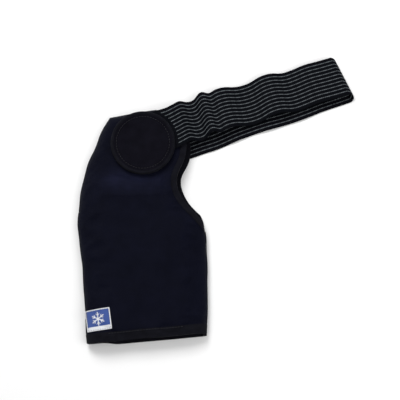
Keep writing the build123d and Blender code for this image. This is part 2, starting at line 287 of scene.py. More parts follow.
def drape(points):
    """Moves points of the sleeve as the soft neoprene lies: settled edges, swells and slack."""
    x, y, z = points.T
    lifted = smoothstep(9 * MM, 19 * MM, z)
    from_tab = np.hypot(x - TAB.x, y - TAB.y)
    free = smoothstep(TAB_R * 1.02, TAB_R * 1.35, from_tab)
    rise = swell_at(x, y) + (0.7 * waves(x, y, 95 * MM, 3) + 0.3 * waves(x, y, 34 * MM, 8)) * MM
    rise += TAB_BULGE * between(y, 136 * MM, 146 * MM, 17 * MM) * between(x, -58 * MM, 16 * MM, 20 * MM)
    mouth = smoothstep(45 * MM, 0, y - ARM_LOW.y)
    rise += mouth * (0.5 + 0.7 * waves(x, y * 0.2, 60 * MM, 12)) * MM
    moved = points.copy()
    moved[:, 2] += np.clip(rise, RISE_LEAST, RISE_MOST) * lifted * free
    side = smoothstep(0, 9 * MM, z)
    moved[:, 0] += SIDE_WAVE * side * waves(y, z, 48 * MM, 21)
    moved[:, 1] += HEM_WAVE * side * waves(x, z, 52 * MM, 22)
    neck_edge = smoothstep(12 * MM, 46 * MM, x) * between(y, 118 * MM, 150 * MM, 34 * MM)
    moved[:, 0] -= NECK_IN * neck_edge
    outer_edge = smoothstep(-35 * MM, -78 * MM, x) * between(y, 110 * MM, 190 * MM, 40 * MM)
    moved[:, 0] += OUTER_IN * outer_edge
    below = smoothstep(13 * MM, 7 * MM, z) * smoothstep(-62 * MM, -34 * MM, x)
    moved[:, 1] -= HEM_DROP * below * smoothstep(-60 * MM, -84 * MM, y)
    return moved


def draped(piece):
    set_points(piece, drape(get_points(piece)))
    return piece


# ---------------------------------------------------------------- materials
def material(name):
    made = bpy.data.materials.new(name)
    made.use_nodes = True
    return made, made.node_tree.nodes, made.node_tree.links, made.node_tree.nodes["Principled BSDF"]


def node(nodes, kind, **settings):
    made = nodes.new(kind)
    for key, value in settings.items():
        if hasattr(made, key):
            setattr(made, key, value)
        else:
            made.inputs[key.replace("_", " ")].default_value = value
    return made


def math_node(nodes, links, operation, first, second=None, third=None, clamp=False):
    made = nodes.new("ShaderNodeMath")
    made.operation = operation
    made.use_clamp = clamp
    for socket, value in zip(made.inputs, (first, second, third)):
        if value is None:
            continue
        if isinstance(value, (int, float)):
            socket.default_value = value
        else:
            links.new(value, socket)
    return made.outputs[0]


def mixed(nodes, links, factor, low, high):
    """A colour that goes from low to high as factor goes from 0 to 1."""
    ramp = nodes.new("ShaderNodeValToRGB")
    ramp.color_ramp.elements[0].color = (*low, 1)
    ramp.color_ramp.elements[1].color = (*high, 1)
    links.new(factor, ramp.inputs[0])
    return ramp.outputs[0]


def bump(nodes, links, shader, height, distance, after=None):
    made = nodes.new("ShaderNodeBump")
    made.inputs["Distance"].default_value = distance
    made.inputs["Strength"].default_value = 1.0
    links.new(height, made.inputs["Height"])
    if after is not None:
        links.new(after, made.inputs["Normal"])
    links.new(made.outputs[0], shader.inputs["Normal"])
    return made.outputs[0]


def object_axes(nodes, links, turn=0.0):
    """X, Y and Z of a point of the object, turned about Z."""
    place = nodes.new("ShaderNodeTexCoord")
    turned = nodes.new("ShaderNodeMapping")
    turned.inputs["Rotation"].default_value = (0, 0, turn)
    links.new(place.outputs["Object"], turned.inputs[0])
    split = nodes.new("ShaderNodeSeparateXYZ")
    links.new(turned.outputs[0], split.inputs[0])
    return turned.outputs[0], split.outputs


# painted sheen band: a pale tone on the front panel below the tab, standing in for a highlight, which fades
# out over its half width and half height
SHEEN_BAND_X, SHEEN_BAND_Y = TAB.x - 14.91 * MM, TAB.y - 55.88 * MM
SHEEN_BAND_HALF_WIDE, SHEEN_BAND_HALF_HIGH = 1 / 14, 1 / 42
# the next two numbers set how much paler the painted highlight band below the tab is
SHEEN_BAND_STRENGTH = 2.6
SHEEN_BAND_PALER = 2.2


def knit(name, dark, pale, pitch, sheen, turn=0.0, depth=0.00012, roughness=0.82, gloss=0.035, brushed=False):
    """Knitted jersey: columns of small loops, with uneven dye, lint and a soft sheen; brushed paints a pale
    highlight band below the tab.
    """
    made, nodes, links, shader = material(name)
    calc = partial(math_node, nodes, links)
    place, (x, y, z) = object_axes(nodes, links, turn)
    beat = 2 * math.pi / pitch
    column = calc("SINE", calc("MULTIPLY", x, beat))
    slant = calc("ABSOLUTE", column)
    row = calc("ADD", calc("ADD", y, z), calc("MULTIPLY", slant, pitch * 0.45))
    loops = calc("SINE", calc("MULTIPLY", row, beat * 0.9))
    relief = calc("ADD", slant, calc("MULTIPLY", loops, 0.45))
    cloudy = node(nodes, "ShaderNodeTexNoise", Scale=38.0, Detail=5.0, Roughness=0.6)
    links.new(place, cloudy.inputs["Vector"])
    fuzz = node(nodes, "ShaderNodeTexNoise", Scale=1900.0, Detail=2.0)
    links.new(place, fuzz.inputs["Vector"])
    tone = calc("ADD", calc("MULTIPLY", cloudy.outputs[0], 0.75), calc("MULTIPLY", relief, 0.16), clamp=True)
    # brushed: a pale band below the tab is painted into the tone, a painted highlight
    if brushed:
        off_y = calc("ABSOLUTE", calc("SUBTRACT", y, SHEEN_BAND_Y))
        off_x = calc("ABSOLUTE", calc("SUBTRACT", x, SHEEN_BAND_X))
        band_y = calc("SUBTRACT", 1.0, calc("MULTIPLY", off_y, 1 / SHEEN_BAND_HALF_HIGH), clamp=True)
        band_x = calc("SUBTRACT", 1.0, calc("MULTIPLY", off_x, 1 / SHEEN_BAND_HALF_WIDE), clamp=True)
        painted_sheen = calc("MULTIPLY", calc("MULTIPLY", band_y, band_x), SHEEN_BAND_STRENGTH)
        tone = calc("ADD", tone, calc("MULTIPLY", painted_sheen, cloudy.outputs[0]))
        pale = tuple(c * SHEEN_BAND_PALER for c in pale)
        tone = calc("MULTIPLY", tone, 0.5, clamp=True)
    links.new(mixed(nodes, links, tone, dark, pale), shader.inputs["Base Color"])
    links.new(calc("MULTIPLY_ADD", fuzz.outputs[0], 0.2, roughness - 0.1), shader.inputs["Roughness"])
    shader.inputs["Specular IOR Level"].default_value = gloss
    shader.inputs["Sheen Weight"].default_value = sheen
    shader.inputs["Sheen Roughness"].default_value = 0.45
    shader.inputs["Sheen Tint"].default_value = (0.62, 0.68, 0.95, 1)
    first = bump(nodes, links, shader, relief, depth)
    bump(nodes, links, shader, fuzz.outputs[0], depth * 0.8, after=first)
    return made


def woven_tape(name, dark, pale, pitch, sheen=0.02):
    """Narrow woven tape: a fine twill."""
    made, nodes, links, shader = material(name)
    calc = partial(math_node, nodes, links)
    place, (x, y, z) = object_axes(nodes, links)
    beat = 2 * math.pi / pitch
    along = calc("ADD", calc("ADD", x, y), z)
    against = calc("SUBTRACT", calc("SUBTRACT", x, y), z)
    first = calc("SINE", calc("MULTIPLY", along, beat))
    second = calc("SINE", calc("MULTIPLY", against, beat * 0.5))
    relief = calc("ADD", calc("MULTIPLY", first, 0.5), calc("MULTIPLY", second, 0.3))
    cloudy = node(nodes, "ShaderNodeTexNoise", Scale=90.0, Detail=4.0)
    links.new(place, cloudy.inputs["Vector"])
    tone = calc("ADD", calc("MULTIPLY", relief, 0.22), cloudy.outputs[0], clamp=True)
    links.new(mixed(nodes, links, tone, dark, pale), shader.inputs["Base Color"])
    shader.inputs["Roughness"].default_value = 0.75
    shader.inputs["Specular IOR Level"].default_value = 0.035
    shader.inputs["Sheen Weight"].default_value = sheen
    shader.inputs["Sheen Roughness"].default_value = 0.4
    bump(nodes, links, shader, relief, 0.00015)
    return made


def pile(name, dark, pale, scale, depth, sheen):
    """Brushed pile or hook: small tufts in random directions."""
    made, nodes, links, shader = material(name)
    calc = partial(math_node, nodes, links)
    place, _ = object_axes(nodes, links)
    tufts = node(nodes, "ShaderNodeTexVoronoi", Scale=scale)
    links.new(place, tufts.inputs["Vector"])
    fuzz = node(nodes, "ShaderNodeTexNoise", Scale=scale * 2.2, Detail=3.0)
    links.new(place, fuzz.inputs["Vector"])
    cloudy = node(nodes, "ShaderNodeTexNoise", Scale=60.0, Detail=4.0)
    links.new(place, cloudy.inputs["Vector"])
    relief = calc("ADD", tufts.outputs["Distance"], fuzz.outputs[0])
    tone = calc("MULTIPLY", relief, cloudy.outputs[0], clamp=True)
    links.new(mixed(nodes, links, tone, dark, pale), shader.inputs["Base Color"])
    shader.inputs["Roughness"].default_value = 0.9
    shader.inputs["Specular IOR Level"].default_value = 0.03
    shader.inputs["Sheen Weight"].default_value = sheen
    shader.inputs["Sheen Roughness"].default_value = 0.5
    bump(nodes, links, shader, relief, depth)
    return made


def thread(name, colour):
    """Twisted polyester thread."""
    made, nodes, links, shader = material(name)
    calc = partial(math_node, nodes, links)
    _, (x, y, _) = object_axes(nodes, links)
    twist = calc("SINE", calc("MULTIPLY", calc("ADD", x, y), 9000))
    dark = tuple(c * 0.55 for c in colour)
    shade = mixed(nodes, links, calc("MULTIPLY_ADD", twist, 0.5), dark, colour)
    links.new(shade, shader.inputs["Base Color"])
    shader.inputs["Roughness"].default_value = 0.5
    bump(nodes, links, shader, twist, 0.00008)
    return made


PICK_PITCH, WORN_PITCH = 2.6 * MM, 10.7 * MM  # of the weft, and of the paler runs in the lines


def webbing(name, stripes, dark, pale):
    """Ribbed elastic with pale woven lines along it.  U runs along in metres, V across from 0 to 1."""
    made, nodes, links, shader = material(name)
    calc = partial(math_node, nodes, links)
    place = nodes.new("ShaderNodeUVMap")
    place.uv_map = "UVMap"
    split = nodes.new("ShaderNodeSeparateXYZ")
    links.new(place.outputs[0], split.inputs[0])
    along, across = split.outputs[0], split.outputs[1]
    lane = calc("MULTIPLY_ADD", across, STRAP_WIDE / STRIPE_PITCH, 0.5 - STRIPE_IN / STRIPE_PITCH)
    near = calc("ABSOLUTE", calc("SUBTRACT", calc("FRACT", lane), 0.5))
    line = calc("MULTIPLY_ADD", near, -11.0, 1.55, clamp=True)
    inside = calc("COMPARE", lane, stripes / 2, stripes / 2)
    plain = nodes.new("ShaderNodeAttribute")
    plain.attribute_name = "plain"
    shown = calc("SUBTRACT", 1.0, plain.outputs["Fac"], clamp=True)
    inside = calc("MULTIPLY", inside, shown)
    picks = calc("SINE", calc("MULTIPLY", along, 2 * math.pi / PICK_PITCH))
    offbeat = calc("SINE", calc("MULTIPLY", along, 2 * math.pi / WORN_PITCH))
    dash = calc("MULTIPLY_ADD", picks, 0.26, 0.62)
    dash = calc("ADD", dash, calc("MULTIPLY", offbeat, 0.16), clamp=True)
    worn = node(nodes, "ShaderNodeTexNoise", Scale=95.0, Detail=4.0)
    links.new(place.outputs[0], worn.inputs["Vector"])
    shade = calc("MULTIPLY_ADD", worn.outputs[0], 1.1, 0.25)
    drawn = calc("MULTIPLY", line, dash)
    strength = calc("MULTIPLY", drawn, calc("MULTIPLY", inside, shade), clamp=True)
    links.new(mixed(nodes, links, strength, dark, pale), shader.inputs["Base Color"])
    ribs = calc("SINE", calc("MULTIPLY", lane, 6 * math.pi))
    relief = calc("ADD", calc("MULTIPLY", ribs, 0.35), calc("MULTIPLY", picks, 0.3))
    relief = calc("ADD", relief, line)
    shader.inputs["Roughness"].default_value = 0.62
    shader.inputs["Specular IOR Level"].default_value = 0.03
    shader.inputs["Sheen Weight"].default_value = 0.02
    shader.inputs["Sheen Roughness"].default_value = 0.4
    bump(nodes, links, shader, relief, 0.00022)
    return made


JERSEY_DARK, JERSEY_PALE = (0.0009, 0.0011, 0.0032), (0.0040, 0.0045, 0.0115)
# brushed=True gives the front jersey its painted highlight band below the tab
JERSEY = knit("jersey", JERSEY_DARK, JERSEY_PALE, 0.0011, 0.02, roughness=0.5, gloss=0.025, brushed=True)
JERSEY_BACK = knit("jersey_back", (0.0018, 0.0021, 0.004), (0.005, 0.0058, 0.0098), 0.0011, 0.03, turn=0.2)
TAPE = woven_tape("binding", (0.0024, 0.0024, 0.0038), (0.0088, 0.009, 0.0135), 0.0009)
SEAM = woven_tape("flatlock", (0.0050, 0.0052, 0.0075), (0.0200, 0.0205, 0.0280), 0.0013, sheen=0.03)
TAB_CLOTH = pile("brushed", (0.0014, 0.0013, 0.0026), (0.0060, 0.0056, 0.0100), 1500.0, 0.00018, 0.02)
LOOPS = pile("loops", (0.0016, 0.0016, 0.0028), (0.0070, 0.0070, 0.0105), 1100.0, 0.0004, 0.05)
HOOKS = pile("hooks", (0.0035, 0.0035, 0.0042), (0.02, 0.02, 0.022), 800.0, 0.0007, 0.02)
THREAD = thread("thread", (0.010, 0.0104, 0.016))
ELASTIC = webbing("elastic", STRIPES, (0.0012, 0.0015, 0.0030), (0.170, 0.190, 0.205))
POCKET = knit("pocket", (0.004, 0.004, 0.006), (0.016, 0.016, 0.02), 0.0024, 0.03, depth=0.0004)


def dressed(piece, look):
    piece.data.materials.clear()
    piece.data.materials.append(look)
    return piece


# ---------------------------------------------------------------- sleeve
def sleeve_piece(name, node_name, voxel, rounds, look):
    piece = draped(softened(name, node_name, voxel, rounds))
    dressed(piece, look)
    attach(piece, "sleeve")
    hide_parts(node_name)
    return piece


front = sleeve_piece("front", "front_panel", 1.5 * MM, 8, JERSEY)
sleeve_piece("back", "back_panel", 1.5 * MM, 6, JERSEY_BACK)
sleeve_piece("arm_hem", "arm_binding", 0.55 * MM, 6, TAPE)
sleeve_piece("neck_edge_front", "neck_binding_front", 0.5 * MM, 5, TAPE)
sleeve_piece("neck_edge_back", "neck_binding_back", 0.5 * MM, 5, TAPE)
sleeve_piece("shoulder_seam", "shoulder_seam_tape", 0.4 * MM, 3, SEAM)
sleeve_piece("outer_arm_seam", "outer_arm_seam_tape", 0.4 * MM, 3, SEAM)
sleeve_piece("underarm_seam", "underarm_seam_tape", 0.4 * MM, 3, SEAM)
sleeve_piece("cap_pile", "loop_pad", 0.6 * MM, 3, LOOPS)
sleeve_piece("pocket", "pack_pocket", 0.5 * MM, 3, POCKET)
sleeve_piece("pocket_mouth", "pocket_mouth_tape", 0.4 * MM, 3, TAPE)


# ---------------------------------------------------------------- thread
def islands(mesh):
    """The points of each separate solid of a mesh."""
    shape = bmesh.new()
    shape.from_mesh(mesh)
    bmesh.ops.remove_doubles(shape, verts=shape.verts, dist=1e-6)
    seen, groups = set(), []
    for first in shape.verts:
        if first in seen:
            continue
        seen.add(first)
        waiting, group = [first], []
        while waiting:
            vert = waiting.pop()
            group.append(vert.co.copy())
            for edge in vert.link_edges:
                other = edge.other_vert(vert)
                if other not in seen:
                    seen.add(other)
                    waiting.append(other)
        groups.append(np.array(group))
    shape.free()
    return groups


STITCH_RINGS, STITCH_SIDES = 7, 8


def stitch_mesh(centre, heading, length, thick):
    """One thread stitch: a short tube that dips into the cloth at both ends."""
    side = np.array((-heading[1], heading[0], 0.0))
    points = []
    for i in range(STITCH_RINGS):
        share = i / (STITCH_RINGS - 1) * 2 - 1
        middle = centre + heading * share * length / 2
        middle = middle - np.array((0, 0, thick * 0.9 * share ** 4))
        radius = thick / 2 * (1 - 0.35 * share ** 4)
        for j in range(STITCH_SIDES):
            turn = 2 * math.pi * j / STITCH_SIDES
            points.append(middle + side * radius * math.cos(turn) + np.array((0, 0, radius * math.sin(turn))))
    faces = []
    for i in range(STITCH_RINGS - 1):
        for j in range(STITCH_SIDES):
            k = (j + 1) % STITCH_SIDES
            row, after = i * STITCH_SIDES, (i + 1) * STITCH_SIDES
            faces.append((row + j, row + k, after + k, after + j))
    faces.append(tuple(range(STITCH_SIDES))[::-1])
    last = (STITCH_RINGS - 1) * STITCH_SIDES
    faces.append(tuple(last + j for j in range(STITCH_SIDES)))
    return points, faces


def sewn(name, rows, thick=0.75 * MM):
    """A piece of many stitches; rows holds (centre, heading, length)."""
    points, faces = [], []
    for centre, heading, length in rows:
        own, sides = stitch_mesh(centre, heading, length, thick)
        faces += [tuple(len(points) + i for i in side) for side in sides]
        points += own
    return dressed(mesh_piece(name, points, faces), THREAD)


def stitches_at(node_name, lift):
    """Where a CAD node's stitches lie."""
    rows = []
    for group in islands(frame["nodes"][node_name].data):
        centre = group.mean(0)
        spread = group[:, :2] - centre[:2]
        far = spread[np.argmax(np.hypot(*spread.T))]
        axes = np.linalg.svd(spread, full_matrices=False)[2][0]
        axes = axes if axes @ far > 0 else -axes
        heading = np.array((axes[0], axes[1], 0.0))
        rows.append((centre + np.array((0, 0, lift)), heading, float(np.ptp(spread @ axes))))
    return rows


def sewn_on_sleeve(name, node_name, lift):
    piece = draped(sewn(name, stitches_at(node_name, lift)))
    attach(piece, "sleeve")
    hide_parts(node_name)


sewn_on_sleeve("arm_hem_stitches", "arm_binding_stitches", 0.1 * MM)
sewn_on_sleeve("strap_root_sewing", "strap_root_stitches", 0)


# ---------------------------------------------------------------- label
FLAKE_MIDDLE, LABEL_SHAPE = 0.54, 0.84  # height of the flake's middle, and the label's height over its width
FLAKE_ARM, FLAKE_REACH = 0.02, 0.27  # half width and length of an arm
BARB_AT, BARB_HALF, BARB_REACH = 0.13, 0.018, 0.075
BORDER_U, BORDER_V, FOOT = 0.455, 0.445, 0.2  # where the pale border and the pale foot begin


def label_look():
    """Woven label: blue field, pale border and a six-armed flake, all in U and V from 0 to 1."""
    made, nodes, links, shader = material("label")
    calc = partial(math_node, nodes, links)
    place = nodes.new("ShaderNodeUVMap")
    place.uv_map = "UVMap"
    split = nodes.new("ShaderNodeSeparateXYZ")
    links.new(place.outputs[0], split.inputs[0])
    u = calc("SUBTRACT", split.outputs[0], 0.5)
    v = calc("MULTIPLY", calc("SUBTRACT", split.outputs[1], FLAKE_MIDDLE), LABEL_SHAPE)
    flake = None
    for arm in range(3):
        turn = math.radians(90 + 60 * arm)
        c, s = math.cos(turn), math.sin(turn)
        along = calc("ADD", calc("MULTIPLY", u, c), calc("MULTIPLY", v, s))
        off = calc("SUBTRACT", calc("MULTIPLY", u, s), calc("MULTIPLY", v, c))
        reach = calc("ABSOLUTE", along)
        wide = calc("ABSOLUTE", off)
        on_arm = calc("LESS_THAN", wide, FLAKE_ARM)
        arm_line = calc("MULTIPLY", on_arm, calc("LESS_THAN", reach, FLAKE_REACH))
        barb = calc("ABSOLUTE", calc("SUBTRACT", calc("SUBTRACT", reach, wide), BARB_AT))
        on_barb = calc("LESS_THAN", barb, BARB_HALF)
        barb_line = calc("MULTIPLY", on_barb, calc("LESS_THAN", wide, BARB_REACH))
        both = calc("MAXIMUM", arm_line, barb_line)
        flake = both if flake is None else calc("MAXIMUM", flake, both)
    edge_u = calc("GREATER_THAN", calc("ABSOLUTE", u), BORDER_U)
    edge_v = calc("GREATER_THAN", calc("ABSOLUTE", calc("SUBTRACT", split.outputs[1], 0.5)), BORDER_V)
    foot = calc("LESS_THAN", split.outputs[1], FOOT)
    pale_part = calc("MAXIMUM", calc("MAXIMUM", flake, edge_u), calc("MAXIMUM", edge_v, foot))
    weft = calc("SINE", calc("MULTIPLY", split.outputs[1], 420.0))
    warp = calc("SINE", calc("MULTIPLY", split.outputs[0], 500.0))
    weave = calc("MULTIPLY", weft, warp)
    base = mixed(nodes, links, pale_part, (0.018, 0.065, 0.30), (0.80, 0.81, 0.84))
    shaded = nodes.new("ShaderNodeMix")
    shaded.data_type = "RGBA"
    shaded.blend_type = "MULTIPLY"
    shaded.inputs[0].default_value = 0.25
    links.new(base, shaded.inputs[6])
    threads = mixed(nodes, links, calc("MULTIPLY_ADD", weave, 0.5), (0.5, 0.5, 0.55), (1, 1, 1))
    links.new(threads, shaded.inputs[7])
    links.new(shaded.outputs[2], shader.inputs["Base Color"])
    shader.inputs["Roughness"].default_value = 0.5
    shader.inputs["Sheen Weight"].default_value = 0.2
    relief = calc("ADD", calc("MULTIPLY", weave, 0.4), pale_part)
    bump(nodes, links, shader, relief, 0.00018)
    return made


LABEL_COLS, LABEL_ROWS = 75, 63
CORNER_PINCH = 0.48
SEWN_IN = 0.045  # from the label's edge to its stitches, as a share of its size


def turned_plan(points):
    """Centre, long axis and size in plan of a turned rectangle of points."""
    flat = points[:, :2]
    best = None
    for tenth in range(-450, 450):
        turn = math.radians(tenth / 10)
        axes = np.array(((math.cos(turn), math.sin(turn)), (-math.sin(turn), math.cos(turn))))
        own = flat @ axes.T
        size = np.ptp(own, axis=0)
        if best is None or size.prod() < best[0]:
            best = (size.prod(), axes, size, (own.max(0) + own.min(0)) / 2)
    return best[3] @ best[1], best[1], best[2]


def make_label():
    points = np.array([v.co for v in frame["nodes"]["woven_label"].data.vertices])
    centre, axes, size = turned_plan(points)
    surface = tree_of(front.data)
    tops, lows, uvs = [], [], []
    for i in range(LABEL_ROWS + 1):
        for j in range(LABEL_COLS + 1):
            u, v = j / LABEL_COLS, i / LABEL_ROWS
            pinch = 1 - CORNER_PINCH * max(0, abs(2 * v - 1) - 0.86) * max(0, abs(2 * u - 1) - 0.86)
            own = np.array(((u - 0.5) * size[0] * pinch, (v - 0.5) * size[1] * pinch))
            x, y = centre + own @ axes
            hit = height_at(surface, x, y)
            rise = min(u, 1 - u, v, 1 - v)
            thick = 0.62 * MM + 0.22 * MM * smoothstep(0.07, 0.02, rise)
            curl = 0.35 * MM * smoothstep(0.6, 1.0, u) * smoothstep(0.5, 0.0, v)
            tops.append((x, y, hit + thick + curl))
            lows.append((x, y, hit - 0.1 * MM))
            uvs.append((u, v))
    wide = LABEL_COLS + 1
    count = len(tops)
    faces = []
    for i in range(LABEL_ROWS):
        for j in range(LABEL_COLS):
            a = i * wide + j
            faces.append((a, a + 1, a + wide + 1, a + wide))
            faces.append((count + a, count + a + wide, count + a + wide + 1, count + a + 1))
    for i in range(LABEL_ROWS):
        for j in (0, LABEL_COLS):
            a, b = i * wide + j, (i + 1) * wide + j
            side = (a, b, count + b, count + a)
            faces.append(side[::-1] if j else side)
    for j in range(LABEL_COLS):
        for i in (0, LABEL_ROWS):
            a, b = i * wide + j, i * wide + j + 1
            side = (a, count + a, count + b, b)
            faces.append(side[::-1] if i else side)
    label = mesh_piece("woven_patch", tops + lows, faces, uvs + uvs)
    dressed(label, label_look())
    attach(label, "sleeve")
    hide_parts("woven_label")
    rows = []
    for start, end in (((0, 0), (1, 0)), ((1, 0), (1, 1)), ((1, 1), (0, 1)), ((0, 1), (0, 0))):
        start, end = (np.array(p) * (1 - 2 * SEWN_IN) + SEWN_IN for p in (start, end))
        length = np.hypot(*((end - start) * size))
        amount = int(length // (3.1 * MM))
        heading = ((end - start) * size / length) @ axes
        for i in range(amount):
            u, v = start + (end - start) * (i + 0.5) / amount
            x, y = centre + ((np.array((u, v)) - 0.5) * size) @ axes
            hit = height_at(surface, x, y)
            rows.append((np.array((x, y, hit + 0.95 * MM)), np.array((*heading, 0.0)), 2.1 * MM))
    piece = sewn("patch_stitches", rows, 0.5 * MM)
    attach(piece, "sleeve")


make_label()

# ---------------------------------------------------------------- strap
RIB = 0.14 * MM
ACROSS_STEPS, ALONG_STEP = 72, 1.8 * MM
PLAIN_NEAR, PLAIN_FAR = 4.4 * MM, 5.6 * MM  # the stripes fade out at this distance from the tab
SPLIT = 30 * MM  # the lower strand's last stretch, which belongs to the piece that goes through the fold
LOOP_R = FOLD_AXIS.z - STRAP_THICK / 2
NECK = 8 * MM  # length of the strap's neck on each side of its hinge
LOW_STEPS, FOLD_STEPS, NECK_STEPS = 60, 34, 21
TONGUE = 34 * MM  # length of the strap's end between the tab's layers
FOLD_SLANT = 8 * MM  # how far the fold's low edge reaches past its high edge
LEAN = 0.031  # slope of a line that leans back along the strap


def strand_heights(back):
    """Height of the upper strand's middle at distances back from the fold's tip."""
    tree = tree_of(frame["nodes"]["strap_upper"].data)
    heights = []
    for s in back:
        foot = FOLD_AXIS - ALONG * s
        top = tree.ray_cast(Vector((foot.x, foot.y, CLEAR)), DOWN)[0]
        low = tree.ray_cast(Vector((foot.x, foot.y, -CLEAR)), UP)[0]
        heights.append((top.z + low.z) / 2)
    return np.array(heights)


def rib_height(v):
    """Raised woven lines across the strap, v in metres from its middle."""
    lane = (v + STRAP_WIDE / 2 - STRIPE_IN) / STRIPE_PITCH
    near = np.abs(lane - np.round(lane))
    inside = (lane > -0.5) & (lane < STRIPES - 0.5)
    return RIB * smoothstep(0.22, 0.1, near) * inside


def ribbon(name, middles, sides, ups, start_u=0.0):
    """Webbing along a line.  middles, sides (across) and ups (out of the top face) hold a row per station."""
    v = np.linspace(-STRAP_WIDE / 2, STRAP_WIDE / 2, ACROSS_STEPS + 1)
    edge = 1 - 0.45 * smoothstep(STRAP_WIDE / 2 - 1.2 * MM, STRAP_WIDE / 2, np.abs(v))
    half = STRAP_THICK / 2 * edge + rib_height(v)
    steps = np.linalg.norm(np.diff(middles, axis=0), axis=1)
    u = start_u + np.concatenate(([0], np.cumsum(steps)))
    spread = middles[:, None, :] + sides[:, None, :] * v[None, :, None]
    top = spread + ups[:, None, :] * half[None, :, None]
    low = spread - ups[:, None, :] * half[None, :, None]
    points = np.concatenate((top.reshape(-1, 3), low.reshape(-1, 3)))
    grid = np.stack(np.meshgrid(u, v / STRAP_WIDE + 0.5, indexing="ij"), -1).reshape(-1, 2)
    wide, count = len(v), len(middles) * len(v)
    faces = []
    for i in range(len(middles) - 1):
        for j in range(wide - 1):
            a = i * wide + j
            faces.append((a, a + wide, a + wide + 1, a + 1))
            faces.append((count + a, count + a + 1, count + a + wide + 1, count + a + wide))
        for j in (0, wide - 1):
            a, b = i * wide + j, (i + 1) * wide + j
            side = (a, count + a, count + b, b)
            faces.append(side[::-1] if j else side)
    for j in range(wide - 1):
        for i in (0, len(middles) - 1):
            a = i * wide + j
            side = (a, a + 1, count + a + 1, count + a)
            faces.append(side[::-1] if i else side)
    piece = mesh_piece(name, points, faces, np.concatenate((grid, grid)))
    plain = piece.data.attributes.new("plain", "FLOAT", "POINT")
    from_tab = np.hypot(points[:, 0] - TAB.x, points[:, 1] - TAB.y)
    near_tab = smoothstep(TAB_R + PLAIN_FAR, TAB_R + PLAIN_NEAR, from_tab) * (points[:, 2] > FRONT_TOP)
    plain.data.foreach_set("value", near_tab.astype(np.float32))
    return dressed(piece, ELASTIC), u[-1]


def normals(middles, sides):
    """The direction out of the top face at each station."""
    run = np.gradient(middles, axis=0)
    up = np.cross(run, sides)
    return up / np.linalg.norm(up, axis=1)[:, None]


def lower_line():
    """Root end, fold end and across direction of the strand that lies on the ground."""
    points = np.array([v.co for v in frame["nodes"]["strap_lower"].data.vertices])
    centre, axes, size = turned_plan(points[points[:, 2] < 0.01 * MM])
    heading = axes[np.argmax(size)]
    heading = heading * np.sign(heading @ np.array(ALONG[:2]))
    reach = heading * size.max() / 2
    return centre - reach, centre + reach, np.array((-heading[1], heading[0], 0.0))


def smoothed(values, width):
    kernel = np.hanning(2 * width + 3)[1:-1]
    padded = np.pad(values, width, mode="edge")
    return np.convolve(padded, kernel / kernel.sum(), mode="valid")


LOWER_SAG = 6 * MM  # the lower strand lies this much lower across than its flat CAD solid
LOWER_SWING, LOWER_BOB = 1.6 * MM, 1.6 * MM  # its slight wandering, across and up
SWAY = 0.85  # the upper strand's wandering across, as a share of its ripples' height
root, tip, low_side = lower_line()
root, tip = (end - LOWER_SAG * low_side[:2] for end in (root, tip))
upper_side = np.array(ACROSS)
along = np.array(ALONG)

# lower strand, from the sewn root to the split
length = np.linalg.norm(tip - root)
heading = np.array((low_side[1], -low_side[0], 0.0))
stations = np.arange(0, length - SPLIT, ALONG_STEP)
share = stations / length
free = smoothstep(0.22, 0.32, share) * smoothstep(1.0, 0.93, stations / (length - SPLIT))
bob = 0.5 + 0.5 * waves(stations, stations * 0, 62 * MM, 31, 4)
swing = LOWER_SWING * waves(stations, stations * 0, 90 * MM, 33, 4) * free
middles = np.array([(*root, STRAP_THICK / 2)]) + stations[:, None] * heading + swing[:, None] * low_side
middles[:, 2] += np.clip(bob, 0, 2) * LOWER_BOB * free
sides = np.repeat([low_side], len(stations), 0)
lower, used = ribbon("strap_lower_strand", middles, sides, normals(middles, sides))
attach(lower, "sleeve")
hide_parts("strap_lower")

# end of the lower strand, far fold and upper strand, up to the tab
steps = np.linspace(0, 1, LOW_STEPS)[:, None]
low_part = middles[-1] + steps * (np.array((*tip, STRAP_THICK / 2)) - middles[-1])
turns = np.linspace(-90, 90, FOLD_STEPS)[1:-1]
hinge_back = np.array(FOLD_AXIS - PEEL_AXIS).dot(along)
reach_back = hinge_back - NECK
back_start = LOOP_R + STRAP_THICK / 2
back = np.linspace(back_start, reach_back, int((reach_back - back_start) / ALONG_STEP) + 1)
heights = smoothed(strand_heights(back), 3)
ripple = heights - smoothed(heights, 24)


PLANE_BEND = 7 * MM  # how far the strap turns down across its width, by the time it reaches the tab


def bend_in_plane(distance):
    """How far across the strap has moved at a distance back from the fold, as it turns down to the tab."""
    return -PLANE_BEND * smoothstep(hinge_back - 26 * MM, hinge_back + 10 * MM, distance)


near_fold = smoothstep(20 * MM, 45 * MM, back)
near_neck = smoothstep(reach_back, reach_back - 20 * MM, back)
sway = ripple * SWAY * near_fold * near_neck + bend_in_plane(back)
top_part = np.array(FOLD_AXIS) * (1, 1, 0) - back[:, None] * along + sway[:, None] * upper_side
top_part[:, 2] = heights
loop_part, loop_sides = [], []
foot_end = low_part[-1]
for turn in turns:
    share = (turn + 90) / 180
    angle = math.radians(turn)
    centre = (1 - share) * foot_end + share * top_part[0]
    facing = (1 - share) * heading + share * along
    out = facing / np.linalg.norm(facing) * LOOP_R * math.cos(angle)
    loop_part.append((centre[0] + out[0], centre[1] + out[1], FOLD_AXIS.z + LOOP_R * math.sin(angle)))
    side = (1 - share) * low_side + share * upper_side
    loop_sides.append(side / np.linalg.norm(side))
middles = np.concatenate((low_part, loop_part, top_part))
low_sides = np.repeat([low_side], len(low_part), 0)
top_sides = np.repeat([upper_side], len(top_part), 0)
sides = np.concatenate((low_sides, loop_sides, top_sides))
upper, used = ribbon("strap_upper_strand", middles, sides, normals(middles, sides), used)
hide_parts("strap_upper")
points = get_points(upper)
from_fold = (np.array(FOLD_AXIS) - points) @ along
